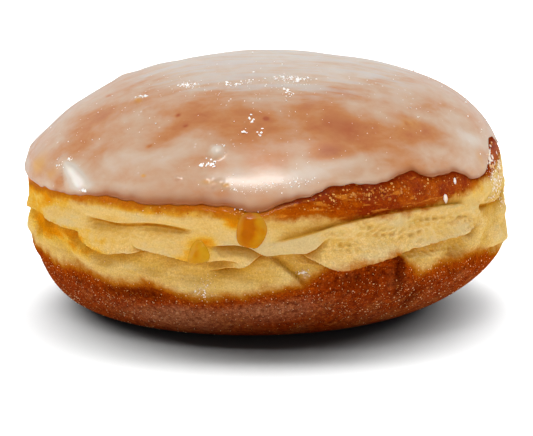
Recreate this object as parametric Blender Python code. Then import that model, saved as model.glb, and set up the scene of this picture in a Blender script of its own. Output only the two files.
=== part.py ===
"""A round doughnut without a hole: risen, folded dough under a thin shell of glaze.

Lengths are in millimetres and angles in degrees until a mesh is written, which is in metres.
Angles run round the bun from the front (-Y), positive towards the right (+X).
"""

from typing import NamedTuple

import bpy
import numpy as np

MM = 0.001

# Driving dimensions of the whole bun; the waist is its widest ring, lower on the right
WIDTH = 91.4
DEPTH = 90.0
HEIGHT = 46.1
FOOT_RADIUS = 21.0
WAIST_HEIGHT = 20.2
WAIST_DROP = 7.6

# Roundness of the bowl under the waist and of the dome over it, each with its drift to the right
BOWL_REACH, BOWL_REACH_DRIFT = 0.63, 0.23
BOWL_RISE, BOWL_RISE_DRIFT = 1.29, 0.34
DOME_REACH, DOME_REACH_DRIFT = 0.82, 0.03
DOME_RISE, DOME_RISE_DRIFT = 1.16, -0.60
WAIST_SOFTNESS, WAIST_SPAN = 0.15, 0.25

# Glaze
GLAZE_THICKNESS = 1.0
GAP = 0.3
SKIRT = 2.6

# Fineness of the meshes
COLUMNS = 120
FRONT_BIAS = 0.25
BOWL_ROWS = 7
BELT_START = 0.46
BELT_ROWS = 20
DOME_ROWS = 7
LIP_STEPS = 3
FOLD_EDGE = 0.9
LIP_SAG = 0.4

# Lower edge of the glaze round the bun: (angle, height), closing on itself
GLAZE_RIM = (
    (-160, 27.2), (-140, 28.6), (-118, 26.6), (-100, 27.4), (-84, 26.2), (-60, 26.0), (-50, 26.3), (-40, 27.3),
    (-27, 26.9), (-20, 27.3), (-8, 27.3), (-2, 26.4), (4, 28.0), (10, 28.9), (15, 30.1), (30, 30.3), (37, 31.4),
    (43, 30.0), (52, 29.9), (58, 28.0), (65, 27.9), (70, 31.0), (75, 33.6), (81, 33.0), (88, 30.0), (102, 30.6),
    (118, 28.4), (135, 29.8), (152, 27.8), (172, 29.0),
)


class Fold(NamedTuple):
    """A crease in the pale belt, with the dough's lip that hangs over it."""
    path: tuple             # (angle, height) of points along the crease
    lip: float              # how far the lip stands out
    hollow: float           # how deep the crease lies
    lip_above: bool = True  # False where the dough under the crease stands out instead
    reach: float = 2.4      # height over which the lip dies away
    spread: float = 1.7     # height over which the hollow dies away
    taper: float = 5.0      # angle over which either end dies away


FRONT_FOLDS = (
    # The left side's long crease and the one that follows under it
    Fold(((-81, 20.8), (-73, 20.6), (-62, 20.2), (-54, 20.0), (-47, 19.6)), 1.0, 1.5),
    Fold(((-52, 19.2), (-44, 17.1), (-40, 16.6), (-34, 17.4), (-27, 17.9)), 1.0, 1.4),
    # The middle fold: its left flap, the soft valley over it and the high ridge
    Fold(((-33, 19.2), (-26, 18.4), (-19, 17.6), (-14, 17.4), (-9, 17.9), (-5, 17.2)), 1.1, 1.9, spread=2.2),
    Fold(((-47, 22.9), (-37, 22.4), (-27, 23.3), (-15, 22.6)), 0.4, 0.8, reach=3.0),
    Fold(((-14, 20.1), (-8, 20.8), (-4, 20.4), (0, 19.3), (5, 19.2), (10, 20.0), (15, 21.5)), 1.5, 1.6),
    Fold(((-15, 14.8), (-9, 15.8), (-5, 16.6), (-1, 18.6), (3, 18.6)), 0.8, 1.3, spread=2.4),
    # The big right flap: the valley along its top, its lower edge and the tear in it
    Fold(((0, 21.3), (5, 21.9), (12, 23.0), (24, 24.5), (40, 24.8), (55, 24.0)), 0.8, 1.3, lip_above=False),
    Fold(((5, 19.6), (10, 18.0), (14, 16.5), (26, 17.1), (35, 18.3), (48, 19.0), (60, 19.4)), 1.5, 1.6),
    Fold(((38, 22.8), (45, 21.3), (51, 21.3), (58, 20.1)), 0.5, 1.1, taper=3.0),
    # The right side
    Fold(((58, 23.0), (66, 22.0), (76, 21.6), (88, 21.9)), 0.2, 1.1),
    Fold(((62, 14.2), (72, 13.2), (86, 13.0)), 0.5, 0.7),
)

# Folds round the sides and the back, drawn in turn between these angles
BACK_START, BACK_END, BACK_STEP = 92.0, 268.0, 11.5
BACK_LEVELS = (18.0, 22.4, 15.6, 20.2)
BACK_SEED = 7


class Swelling(NamedTuple):
    """A rounded bump on the dough."""
    angle: float
    height: float
    half_width: float
    half_height: float
    thickness: float


SYRUP_DROPS = (
    Swelling(-3.8, 23.4, 2.7, 2.6, 1.0),
    Swelling(-14.0, 19.0, 1.6, 1.9, 0.6),
)
SIDE_BULGES = (
    Swelling(83.0, 17.0, 7.0, 4.6, 0.5),
    Swelling(-80.0, 14.5, 8.0, 4.5, 0.5),
)

# Crumpling of the belt between the crusts: heights, depth, how far it sinks, and its waves
CRUMPLE_LOW, CRUMPLE_HIGH, CRUMPLE_EDGE = 12.0, 25.5, 3.0
CRUMPLE_DEPTH = 0.45
CRUMPLE_SINK = 0.35
CRUMPLE_WAVES = 14
CRUMPLE_AROUND = (8, 34)
CRUMPLE_UPWARDS = (5.0, 14.0)
CRUMPLE_SEED = 3

# Colours of the two materials, in linear light
DOUGH_COLOUR, DOUGH_ROUGHNESS = (0.42, 0.20, 0.055), 0.55
GLAZE_COLOUR, GLAZE_ROUGHNESS = (0.60, 0.36, 0.22), 0.18


def ease(x):
    """Go smoothly from 0 to 1 while x goes from 0 to 1."""
    x = np.clip(x, 0.0, 1.0)
    return x * x * (3.0 - 2.0 * x)


def curve(points, at, period=None):
    """Read a smooth curve through (place, value) points: cubic pieces that share their slopes.

    With a period, the curve closes on itself.
    """
    place, value = np.array(points, float).T
    if period:
        place = np.concatenate([place - period, place, place + period])
        value = np.tile(value, 3)
    slope = np.gradient(value, place)
    i = np.clip(np.searchsorted(place, at) - 1, 0, len(place) - 2)
    step = place[i + 1] - place[i]
    u = np.clip((at - place[i]) / step, 0.0, 1.0)
    ends = value[i] * (1 + 2 * u) * (1 - u) ** 2 + value[i + 1] * (3 - 2 * u) * u ** 2
    return ends + step * u * (1 - u) * (slope[i] * (1 - u) - slope[i + 1] * u)


def bowl_and_dome(angle, level):
    """Form with a sharp waist: level 0 is the foot's ring, 1 the waist, 2 the middle of the top.

    In the bowl the radius grows as a power of a sine and the height as one less a power of the
    cosine; over the waist the two swap. The waist and the powers drift from left to right.
    """
    turn = np.radians(angle)
    side = np.sin(turn)
    low = np.clip(level, 0, 1) * np.pi / 2
    high = np.clip(level - 1, 0, 1) * np.pi / 2
    foot = FOOT_RADIUS / (WIDTH / 2)
    waist = WAIST_HEIGHT - WAIST_DROP * side
    bowl = foot + (1 - foot) * np.sin(low) ** (BOWL_REACH + BOWL_REACH_DRIFT * side)
    bowl_z = waist * (1 - np.maximum(np.cos(low), 0) ** (BOWL_RISE + BOWL_RISE_DRIFT * side))
    dome = np.maximum(np.cos(high), 1e-9) ** (DOME_REACH + DOME_REACH_DRIFT * side)
    dome_z = waist + (HEIGHT - waist) * np.sin(high) ** (DOME_RISE + DOME_RISE_DRIFT * side)
    ellipse = 1 / np.hypot(np.sin(turn) * 2 / WIDTH, np.cos(turn) * 2 / DEPTH)
    radius = np.where(level < 1, bowl, dome) * ellipse
    z = np.where(level < 1, bowl_z, dome_z)
    return np.stack([radius * side, -radius * np.cos(turn), z], -1)


def bun(angle, level):
    """Outer form with the waist rounded: near it, each point is averaged with its neighbours."""
    soft = WAIST_SOFTNESS * np.exp(-((level - 1) / WAIST_SPAN) ** 2)
    ends = bowl_and_dome(angle, level - soft) + bowl_and_dome(angle, level + soft)
    return ends / 4 + bowl_and_dome(angle, level) / 2


def outward(angle, level):
    """Unit normal of the bun, from the difference of neighbouring points."""
    step = 0.01
    level = np.clip(level, 2 * step, 2 - 2 * step)
    along = bun(angle + step, level) - bun(angle - step, level)
    up = bun(angle, level + step) - bun(angle, level - step)
    normal = np.cross(along, up)
    return normal / np.linalg.norm(normal, axis=-1, keepdims=True)


def back_folds():
    """Folds that go on round the sides and the back, at heights taken in turn."""
    draw = np.random.default_rng(BACK_SEED)
    folds = []
    for count, start in enumerate(np.arange(BACK_START, BACK_END, BACK_STEP)):
        length = draw.uniform(20, 38)
        low = BACK_LEVELS[count % len(BACK_LEVELS)] + draw.uniform(-0.8, 0.8)
        bend, rise = draw.uniform(-1.2, 1.2), draw.uniform(-1.8, 1.8)
        end = min(start + length, BACK_END)
        path = ((start, low), ((start + end) / 2, low + rise / 2 + bend), (end, low + rise))
        folds.append(Fold(path, draw.uniform(0.6, 1.2), draw.uniform(0.8, 1.5), draw.random() < 0.75))
    return folds


def fold_relief(fold, angle, height):
    """How far a fold moves the skin outwards and downwards.

    Over the crease the skin rises to the lip within FOLD_EDGE and dies away over 'reach'; under
    it the hollow dies away over 'spread'. The lip also sags, to hang over the crease.
    """
    first, last = fold.path[0][0], fold.path[-1][0]
    place = np.mod(angle - first, 360.0)
    crease = curve([(a - first, z) for a, z in fold.path], np.minimum(place, last - first))
    fade = ease(place / fold.taper) * ease((last - first - place) / fold.taper)
    over = (height - crease) * (1 if fold.lip_above else -1)
    rise = ease(over / FOLD_EDGE)
    lip = fold.lip * rise * np.exp(-(over / fold.reach) ** 2)
    hollow = fold.hollow * (1 - rise) * np.exp(np.minimum(over, 0) / fold.spread)
    sag = LIP_SAG * lip * (1 if fold.lip_above else -1)
    return fade * (lip - hollow), fade * sag


def swell(bump, angle, height):
    """A bump with an elliptical edge and a round section."""
    away = np.mod(angle - bump.angle + 180.0, 360.0) - 180.0
    across = np.radians(away) * WIDTH / 2 / bump.half_width
    upward = (height - bump.height) / bump.half_height
    return bump.thickness * np.sqrt(np.maximum(1 - across ** 2 - upward ** 2, 0))


def crumple(angle, height):
    """Shallow waves in all directions over the belt, whole numbers of them round the bun."""
    draw = np.random.default_rng(CRUMPLE_SEED)
    total = np.zeros(np.broadcast(angle, height).shape)
    for _ in range(CRUMPLE_WAVES):
        around = draw.integers(*CRUMPLE_AROUND)
        upward = draw.choice([-1, 1]) * 2 * np.pi / draw.uniform(*CRUMPLE_UPWARDS)
        total += np.cos(around * np.radians(angle) + upward * height + draw.uniform(0, 2 * np.pi))
    belt = ease((height - CRUMPLE_LOW) / CRUMPLE_EDGE) * ease((CRUMPLE_HIGH - height) / CRUMPLE_EDGE)
    return belt * (CRUMPLE_DEPTH * total / np.sqrt(CRUMPLE_WAVES) - CRUMPLE_SINK)


def rim_level(angle):
    """Level of the glaze's edge at an angle, found by halving between the waist and the top."""
    target = curve(GLAZE_RIM, angle, period=360.0)
    low, high = np.ones_like(angle), np.full_like(angle, 2.0)
    for _ in range(24):
        middle = (low + high) / 2
        over = bun(angle, middle)[..., 2] > target
        low, high = np.where(over, low, middle), np.where(over, middle, high)
    return (low + high) / 2


def column_angles():
    """Angles of the mesh's columns, closer together at the front, where the folds are finest."""
    even = np.linspace(-np.pi, np.pi, COLUMNS, endpoint=False)
    return np.degrees(even - FRONT_BIAS * np.sin(even))


def dough_rings():
    """Rings of the dough from the foot to the top, sunk under the glaze by its thickness."""
    angle = column_angles()[None, :]
    rim = rim_level(angle)
    bowl = np.linspace(0, BELT_START, BOWL_ROWS, endpoint=False)
    belt = np.linspace(BELT_START, 1, BELT_ROWS, endpoint=False)
    dome = np.linspace(0, 1, DOME_ROWS, endpoint=False)
    level = np.concatenate([np.concatenate([bowl, belt])[:, None] * rim, rim + dome[:, None] * (2 - rim)])
    angle = np.broadcast_to(angle, level.shape)
    point = bun(angle, level)
    height = point[..., 2]
    out, down = crumple(angle, height), np.zeros_like(height)
    for fold in (*FRONT_FOLDS, *back_folds()):
        fold_out, fold_down = fold_relief(fold, angle, height)
        out += fold_out
        down += fold_down
    for bump in (*SYRUP_DROPS, *SIDE_BULGES):
        out += swell(bump, angle, height)
    under = (height - curve(GLAZE_RIM, angle, period=360.0)) / SKIRT
    bare = ease(-under)
    out = out * bare - (GLAZE_THICKNESS + GAP) * ease(1 + under)
    point = point + outward(angle, level) * out[..., None]
    point[..., 2] -= down * bare
    return point


def glaze_rings():
    """Rings of the glaze, which run down its inner face to the rim, round the half circle of the
    lip, and up its outer face to the top."""
    angle = column_angles()[None, :]
    rim = rim_level(angle)
    dome = np.linspace(0, 1, DOME_ROWS, endpoint=False)[:, None]
    level = rim + dome * (2 - rim)
    lip = np.linspace(0, np.pi, LIP_STEPS + 2)[1:-1, None]
    drop = np.linalg.norm(bun(angle, rim + 0.01) - bun(angle, rim - 0.01), axis=-1) / 0.02
    lip_level = rim - np.sin(lip) * GLAZE_THICKNESS / 2 / drop
    sunk = -GLAZE_THICKNESS * (1 + np.cos(lip)) / 2
    levels = np.concatenate([level[::-1], lip_level, level])
    inner = np.full((DOME_ROWS, 1), -GLAZE_THICKNESS)
    out = np.concatenate([inner, sunk, np.zeros((DOME_ROWS, 1))])
    angle = np.broadcast_to(angle, levels.shape)
    return bun(angle, levels) + outward(angle, levels) * out[..., None]


def body(name, rings, first_pole, last_pole, material):
    """Join rings of points into one closed body with a pole at either end, and add it."""
    rows, columns = rings.shape[:2]
    vertices = np.concatenate([rings.reshape(-1, 3), [first_pole, last_pole]]) * MM
    row, column = np.meshgrid(np.arange(rows - 1), np.arange(columns), indexing="ij")
    here = row * columns + column
    beside = row * columns + (column + 1) % columns
    lower = np.stack([here, beside, beside + columns], -1).reshape(-1, 3)
    upper = np.stack([here, beside + columns, here + columns], -1).reshape(-1, 3)
    column = np.arange(columns)
    beside = (column + 1) % columns
    top = (rows - 1) * columns
    first = np.stack([beside, column, np.full(columns, rows * columns)], -1)
    last = np.stack([top + column, top + beside, np.full(columns, rows * columns + 1)], -1)
    faces = np.concatenate([first, lower, upper, last])
    mesh = bpy.data.meshes.new(name)
    mesh.from_pydata(vertices.tolist(), [], faces.tolist())
    mesh.shade_smooth()
    mesh.materials.append(material)
    piece = bpy.data.objects.new(name, mesh)
    bpy.context.scene.collection.objects.link(piece)
    return piece


def finish(name, colour, roughness):
    """A plain Principled material."""
    material = bpy.data.materials.new(name)
    material.use_nodes = True
    shader = material.node_tree.nodes["Principled BSDF"]
    shader.inputs["Base Color"].default_value = (*colour, 1.0)
    shader.inputs["Roughness"].default_value = roughness
    shader.inputs["Metallic"].default_value = 0.0
    return material


def main():
    for leftover in list(bpy.data.objects):
        bpy.data.objects.remove(leftover)
    dough, glaze = dough_rings(), glaze_rings()
    low, high = dough.min(axis=(0, 1)), dough.max(axis=(0, 1))
    centre = np.array([*(low + high)[:2] / 2, 0.0])
    crown = bun(np.zeros(1), np.full(1, 2.0))[0] - centre
    foot = bun(np.zeros(1), np.zeros(1))[0] - centre
    below = np.array([0, 0, GLAZE_THICKNESS])
    dough_top = crown - below - np.array([0, 0, GAP])
    foot_middle = np.array([foot[0], 0.0, 0.0])
    body("dough", dough - centre, foot_middle, dough_top, finish("dough", DOUGH_COLOUR, DOUGH_ROUGHNESS))
    body("glaze", glaze - centre, crown - below, crown, finish("glaze", GLAZE_COLOUR, GLAZE_ROUGHNESS))


main()
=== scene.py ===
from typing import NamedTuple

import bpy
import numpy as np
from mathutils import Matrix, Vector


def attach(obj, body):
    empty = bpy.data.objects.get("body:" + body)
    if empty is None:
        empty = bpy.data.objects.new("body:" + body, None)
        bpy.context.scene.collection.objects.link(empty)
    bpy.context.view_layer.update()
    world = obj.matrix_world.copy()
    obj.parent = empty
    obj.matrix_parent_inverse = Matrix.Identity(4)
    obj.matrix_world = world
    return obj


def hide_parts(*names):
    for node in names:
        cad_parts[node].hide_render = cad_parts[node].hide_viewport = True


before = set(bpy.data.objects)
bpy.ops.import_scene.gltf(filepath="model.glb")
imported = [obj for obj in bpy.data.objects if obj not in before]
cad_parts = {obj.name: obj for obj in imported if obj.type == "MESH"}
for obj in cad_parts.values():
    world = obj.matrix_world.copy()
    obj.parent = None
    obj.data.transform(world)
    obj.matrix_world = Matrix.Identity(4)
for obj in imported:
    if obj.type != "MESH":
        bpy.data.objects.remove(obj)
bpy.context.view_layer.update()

# Looks of a glazed doughnut without a hole: fried, folded dough, milky glaze, syrup and sugar.
# Lengths are in millimetres and angles in degrees until a mesh is written, which is in metres.
# Angles run round the bun from the front (-Y), positive towards the right (+X).

MM = 0.001

# Camera, as the photograph sees the bun
CAMERA_ELEVATION = 13.0
CAMERA_DISTANCE = 420.0
CAMERA_AIM_HEIGHT = 15.15
LENS = 148.9

# Lights: (name, elevation, azimuth from the front, distance in m, width and height in m, brightness);
# the fill isn't seen in the gloss, and the floor's light shines straight down on the floor alone
PANELS = (
    ("softbox", 64.0, -10.0, 1.2, (0.46, 0.16), 19.0),
    ("overhead", 74.0, 15.0, 1.6, (1.0, 1.0), 1.6),
    ("fill", 10.0, -5.0, 1.5, (1.6, 0.5), 1.2),
    ("floor_light", 49.7, 169.0, 3.93, (13.0, 5.2), 37.5),
)

# Height in m that the lights point at
LIGHTS_AIM = 0.03

# The studio's walls: bright behind and above, darkening towards the side that the camera is on
STUDIO_BRIGHT, STUDIO_DARK = 0.75, 0.08
DARK_SIDE = (0.0, -0.98, 0.2)
DARKENS_FROM, DARKENS_TO = 0.15, 0.85

# Colour of the floor, and how far it reaches each way
FLOOR_GREY = (0.10, 0.10, 0.10)
FLOOR_REACH = 6000.0

# Colours of the pale belt: painted shade in its hollows, between, painted light where it stands out and a
# painted highlight on its finest ridges; where a little or much syrup has soaked in; painted shade in a
# crease and along its line
BELT_SHADED_HOLLOW, BELT_BETWEEN = (0.62, 0.355, 0.070), (0.67, 0.435, 0.140)
BELT_LIT_PROUD, BELT_RIDGE_HIGHLIGHT = (0.59, 0.425, 0.190), (0.71, 0.525, 0.250)
SOAKED_YELLOW, SOAKED_ORANGE = (0.67, 0.365, 0.036), (0.62, 0.21, 0.002)
CREASE_SHADE_GOLD, CREASE_LINE_SHADE = (0.52, 0.250, 0.022), (0.47, 0.165, 0.004)

# Colours of the lower crust: from its edge inwards, then its blotches, burnt places, dusty places with a
# painted sheen, and specks that are partly painted glints
CRUST_GOLD, CRUST_BROWN, CRUST_DEEP = (0.42, 0.135, 0.006), (0.265, 0.036, 0.0008), (0.205, 0.022, 0.0008)
CRUST_BLOTCH, CRUST_BURNT = (0.255, 0.060, 0.015), (0.075, 0.007, 0.0003)
CRUST_DUST_AND_SHEEN, CRUST_SPECK_AND_GLINT = (0.320, 0.105, 0.042), (0.50, 0.19, 0.035)

# Colours of the upper crust: its two browns, its streaks, lighter partly as a painted highlight, right
# under the glaze, darkened by soaked syrup and painted shade, and under syrup
TOP_DARK, TOP_RED, TOP_STREAK_AND_HIGHLIGHT = (0.22, 0.020, 0.0002), (0.36, 0.064, 0.0003), (0.60, 0.20, 0.016)
TOP_SOAKED_AND_SHADED_UNDER_GLAZE, TOP_SYRUP = (0.15, 0.010, 0.0002), (0.50, 0.125, 0.002)

# How the dough's coarse grain and fine fuzz lighten its colours on their tips and darken them between
GRAIN_TIP, GRAIN_GAP = (1.45, 1.70, 1.80), (0.55, 0.42, 0.35)
FUZZ_TIP, FUZZ_GAP = (1.6, 1.75, 1.9), (0.50, 0.42, 0.30)

# Colours of the glaze, from thin over brown crust to thick and white, then its other tones
GLAZE_THINNEST, GLAZE_THIN, GLAZE_HALF = (0.37, 0.070, 0.009), (0.50, 0.185, 0.048), (0.56, 0.360, 0.235)
GLAZE_MILKY, GLAZE_WHITE = (0.62, 0.520, 0.430), (0.80, 0.740, 0.670)
GLAZE_GREY, GLAZE_LIP, GLAZE_HONEY = (0.52, 0.455, 0.430), (0.30, 0.085, 0.016), (0.60, 0.28, 0.040)
GLAZE_PIT = (0.85, 0.78, 0.70)

# Colours of the syrup, from the edge of a drop to its core, and of what lies on the dough and the glaze
SYRUP_YELLOW, SYRUP_AMBER, SYRUP_CORE = (0.88, 0.49, 0.016), (0.82, 0.33, 0.003), (0.70, 0.190, 0.0006)
WET_BROWN, WET_GOLD = (0.42, 0.095, 0.002), (0.72, 0.33, 0.070)
SUGAR_WHITE, SUGAR_CREAM, CRUMB_BROWN = (0.97, 0.95, 0.92), (0.90, 0.77, 0.65), (0.76, 0.44, 0.20)

# Form of the bun, as in the solids; the waist is its widest ring, lower on the right
WIDTH = 91.4
DEPTH = 90.0
HEIGHT = 46.1
FOOT_RADIUS = 21.0
WAIST_HEIGHT = 20.2
WAIST_DROP = 7.6
BOWL_REACH, BOWL_REACH_DRIFT = 0.63, 0.23
BOWL_RISE, BOWL_RISE_DRIFT = 1.29, 0.34
DOME_REACH, DOME_REACH_DRIFT = 0.82, 0.03
DOME_RISE, DOME_RISE_DRIFT = 1.16, -0.60
WAIST_SOFTNESS, WAIST_SPAN = 0.15, 0.25

# Fineness of the dough's and the glaze's grids: the columns crowd together at the front, the dough's rows
# in the belt, which starts at this share of the way up to the glaze, and the glaze's rows at its edge
COLUMNS = 470
FRONT_BIAS = 0.32
BELT_START = 0.44
BOWL_ROWS = 44
BELT_ROWS = 140
HIDDEN_ROWS = 20
GLAZE_ROWS = 150
GLAZE_CROWDING = 1.3
INNER_ROWS = 34
LIP_STEPS = 14

# Glaze: its thickness, the height in which the dough sinks under its edge, and how deep it lies in the
# dough; its edge stands out by a share of its lip's thickness, over a height, and hangs down by another
GLAZE_THICKNESS = 0.9
SKIRT = 1.6
BEDDING = 0.10
ROLLED_EDGE = 0.3
ROLLED_EDGE_SPAN = 1.3
LIP_OVERHANG = 0.8

# Slow swellings of the glaze (height, how many waves, length, seed), which fade in over this height
# from its edge, and how far its milky parts stand out
SWELLING, SWELLINGS, SWELLING_LENGTH, SWELLING_SEED = 0.12, 12, 14.0, 11
SWELLING_SPAN = 6.0
MILK_RELIEF = 0.10

# Thickness of the glaze's lip round the bun, and how far its brown edge reaches up: (angle, mm)
LIP_THICKNESS = (
    (-165, 0.8), (-120, 0.9), (-80, 0.6), (-58, 0.34), (-40, 0.42), (-20, 0.5), (-3, 0.55), (10, 0.45),
    (30, 0.34), (55, 0.34), (72, 0.26), (84, 0.30), (95, 0.8), (140, 0.9),
)
LIP_TINT = (
    (-160, 0.9), (-100, 0.8), (-60, 0.45), (-45, 0.7), (-33, 1.3), (-8, 1.5), (6, 0.9), (18, 0.35),
    (35, 0.9), (45, 1.0), (60, 0.7), (75, 0.2), (90, 0.5), (130, 1.0),
)

# Lower edge of the glaze round the bun: (angle, height), closing on itself
GLAZE_RIM = (
    (-160, 27.2), (-140, 28.6), (-118, 26.6), (-100, 27.4), (-84, 26.2), (-60, 26.0), (-50, 26.3),
    (-40, 27.3), (-27, 26.9), (-20, 27.3), (-8, 27.3), (-2, 26.4), (4, 28.0), (10, 28.9), (15, 30.1),
    (30, 30.3), (37, 31.4), (43, 30.0), (52, 29.9), (58, 28.0), (63, 27.9), (68, 29.6), (74, 32.4),
    (80, 32.6), (89, 30.2), (102, 30.6), (118, 28.4), (135, 29.8), (152, 27.8), (172, 29.0),
)

# Ripples of that edge: (how many round the bun, height, shift)
EDGE_RIPPLES = ((47, 0.07, 0.4), (61, 0.05, 3.0), (83, 0.06, 2.0), (107, 0.03, 4.1), (149, 0.02, 1.1))

# How often a level is narrowed down when it is looked for by its height
HALVINGS = 24

# Where the brown crusts end against the pale belt
LOWER_CRUST = (
    (-170, 12.4), (-145, 13.6), (-118, 11.8), (-95, 13.2), (-70, 12.8), (-60, 12.0), (-50, 12.8),
    (-40, 11.4), (-27, 12.1), (-20, 10.6), (-8, 10.9), (0, 12.0), (6, 13.0), (11, 14.6), (15, 16.2),
    (25, 17.0), (32, 17.6), (35, 14.8), (45, 14.6), (60, 14.4), (72, 11.8), (90, 11.0), (112, 13.0),
    (140, 12.0), (165, 13.4),
)
UPPER_CRUST = (
    (-165, 24.4), (-140, 25.6), (-115, 24.2), (-90, 24.6), (-60, 25.2), (-40, 26.0), (-10, 26.0), (0, 25.4),
    (10, 25.3), (20, 24.7), (35, 24.9), (50, 25.8), (60, 26.8), (66, 27.4), (78, 28.6), (92, 28.4),
    (110, 26.4), (135, 27.0), (160, 25.6),
)


class Fold(NamedTuple):
    """A crease in the pale belt, with the dough's lip that hangs over it."""
    path: tuple             # (angle, height) of points along the crease
    lip: float              # how far the lip stands out
    hollow: float           # how deep the crease lies
    lip_above: bool = True  # False where the dough under the crease stands out instead
    reach: float = 2.4      # height over which the lip dies away
    spread: float = 1.7     # height over which the hollow dies away
    taper: float = 5.0      # angle over which either end dies away


# Height in which a lip rises from its crease, and how far it sags for each mm that it stands out
FOLD_EDGE = 0.55
LIP_SAG = 0.4

# The dark line of painted shade in a crease: how far under the lip, how wide, and how much of it a valley has
LINE_UNDER, LINE_WIDTH = 0.25, 0.34
VALLEY_LINE = 0.3

FRONT_FOLDS = (
    # The left side's long crease and the one that follows under it
    Fold(((-81, 20.8), (-73, 20.6), (-62, 20.2), (-54, 20.0), (-47, 19.6)), 1.1, 1.7),
    Fold(((-52, 19.2), (-44, 17.1), (-40, 16.6), (-34, 17.4), (-27, 17.9)), 1.1, 1.6),
    # The middle fold: its left flap, the soft valley over it and the high ridge
    Fold(((-33, 19.2), (-26, 18.4), (-19, 17.6), (-14, 17.4), (-9, 17.9), (-5, 17.2)), 1.1, 1.9, spread=2.2),
    Fold(((-47, 22.9), (-37, 22.4), (-27, 23.3), (-15, 22.6)), 0.4, 0.8, reach=3.0),
    Fold(((-14, 20.1), (-8, 20.8), (-4, 20.4), (0, 19.3), (5, 19.2), (10, 20.0), (15, 21.5)), 1.5, 1.6),
    Fold(((-15, 14.8), (-9, 15.8), (-5, 16.6), (-1, 18.6), (3, 18.6)), 0.8, 1.3, spread=2.4),
    # The big right flap: the valley along its top, its lower edge, the tear in it and the pocket beside it
    Fold(((0, 21.3), (5, 21.9), (12, 23.0), (24, 24.5), (40, 24.8), (55, 24.0)), 0.8, 0.9, lip_above=False),
    Fold(((5, 19.6), (10, 18.0), (14, 16.5), (26, 17.1), (35, 18.3), (48, 19.0), (60, 19.4)), 1.5, 1.6),
    Fold(((41, 22.8), (46.5, 21.5), (51, 22.0), (57, 21.0)), 0.12, 0.45, reach=1.6, spread=0.6, taper=6.0),
    Fold(((0, 18.4), (3, 17.0), (6, 15.0), (9.5, 12.8)), 0.5, 0.9, False, reach=1.4, spread=2.0, taper=2.5),
    # The right side
    Fold(((58, 23.0), (66, 22.0), (76, 21.6), (88, 21.9)), 0.2, 1.1),
    Fold(((62, 14.2), (72, 13.2), (86, 13.0)), 0.5, 0.7),
)

# Folds round the sides and the back, drawn in turn between these angles: their heights and lengths,
# how far they are shifted, bent and raised, their lips and hollows, and the share with the lip above
BACK_START, BACK_END, BACK_STEP = 92.0, 268.0, 11.5
BACK_LEVELS = (18.0, 22.4, 15.6, 20.2)
BACK_LENGTHS = (20, 38)
BACK_SHIFT, BACK_BEND, BACK_RISE = 0.8, 1.2, 1.8
BACK_LIPS, BACK_HOLLOWS = (0.6, 1.2), (0.8, 1.5)
BACK_LIP_ABOVE = 0.75
BACK_SEED = 7


class Patch(NamedTuple):
    """A rounded place on the bun, its long side turned by 'tilt' degrees, up at its right end."""
    angle: float
    height: float
    half_width: float
    half_height: float
    amount: float
    tilt: float = 0.0


class Spot(NamedTuple):
    """A round place, measured through space, so it stays round on the flat of the dome too."""
    angle: float
    height: float
    radius: float
    amount: float


# Swellings of the sides, and where the left side is drawn in under the glaze
SIDE_BULGES = (
    Patch(83.0, 17.0, 7.0, 4.6, 0.5),
    Patch(-80.0, 14.5, 8.0, 4.5, 0.5),
)
SIDE_HOLLOWS = (Patch(-90.0, 21.8, 13.0, 5.0, 0.65),)

# Drops of syrup, and the grid of each
SYRUP_DROPS = (
    Patch(-3.4, 23.7, 2.7, 3.0, 1.0),
    Patch(-15.0, 19.3, 1.9, 2.0, 0.7),
)
DROP_SPOKES, DROP_RINGS = 48, 14

# How deep a drop's underside is sunk, the power that rounds its dome, and how deep its edge is sunk;
# how much wider it is low down, and how much its edge wavers
DROP_SUNK, DROP_ROUNDNESS, DROP_EDGE_SUNK = 0.4, 0.75, 0.06
DROP_SPREAD, DROP_WAVER = 0.22, 0.06

# Place and size of a drop's dark core, in shares of the drop, and how thick the syrup is round it; the
# core sits left, which paints the right side lighter, as lit through from the upper left
CORE_LEFT, CORE_LOW, CORE_WIDTH, CORE_HEIGHT = 0.15, 0.05, 0.42, 0.75
CLEAR_EDGE = 0.28

# The upper crust is darkest right under the glaze, partly from soaked syrup and partly as painted shade
# of the glaze's lip, but not left of the drip: going left through this angle, its distance from the
# glaze counts as this much more
LEFT_OF_DRIP, DRIP_ANGLE, DRIP_SPAN = 0.9, 4.0, 8.0

# Crumpling of the belt between the crusts, in waves as the wrinkles are, and the finer wrinkles on it,
# whose ridges are narrow and which fade out below, down to this share of their depth
CRUMPLE_LOW, CRUMPLE_HIGH, CRUMPLE_EDGE = 12.0, 25.5, 3.0
CRUMPLE_DEPTH = 0.45
CRUMPLE_SINK = 0.35
CRUMPLE_WAVES = 14
CRUMPLE_AROUND = (8, 34)
CRUMPLE_UPWARDS = (5.0, 14.0)
CRUMPLE_SEED = 3
WRINKLE_DEPTH = 0.30
RIDGE_WIDTH = 0.20
WRINKLES_FROM, WRINKLES_SPAN, SMOOTH_LOW = 14.5, 3.0, 0.3

# How wrinkled the belt is round the bun: (angle, share)
WRINKLED = (
    (-150, 0.8), (-100, 0.6), (-70, 0.5), (-10, 0.5), (6, 0.5), (20, 1.0), (58, 1.0), (75, 0.6), (115, 0.8),
)

# The waves that the wrinkles are made of: how many, how many turns each makes round the bun, and how long
# each is upwards
WRINKLE_WAVES = 22
WRINKLE_AROUND = (30, 120)
WRINKLE_UPWARDS = (1.4, 4.0)
WRINKLE_SEED = 5

# Small lumps: how much they are stretched each way, and how near to the floor and the top they lie
LUMP_STRETCH = (0.6, 1.4)
LUMPS_OVER_FLOOR, LUMPS_UNDER_TOP = 0.8, 0.05

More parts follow.
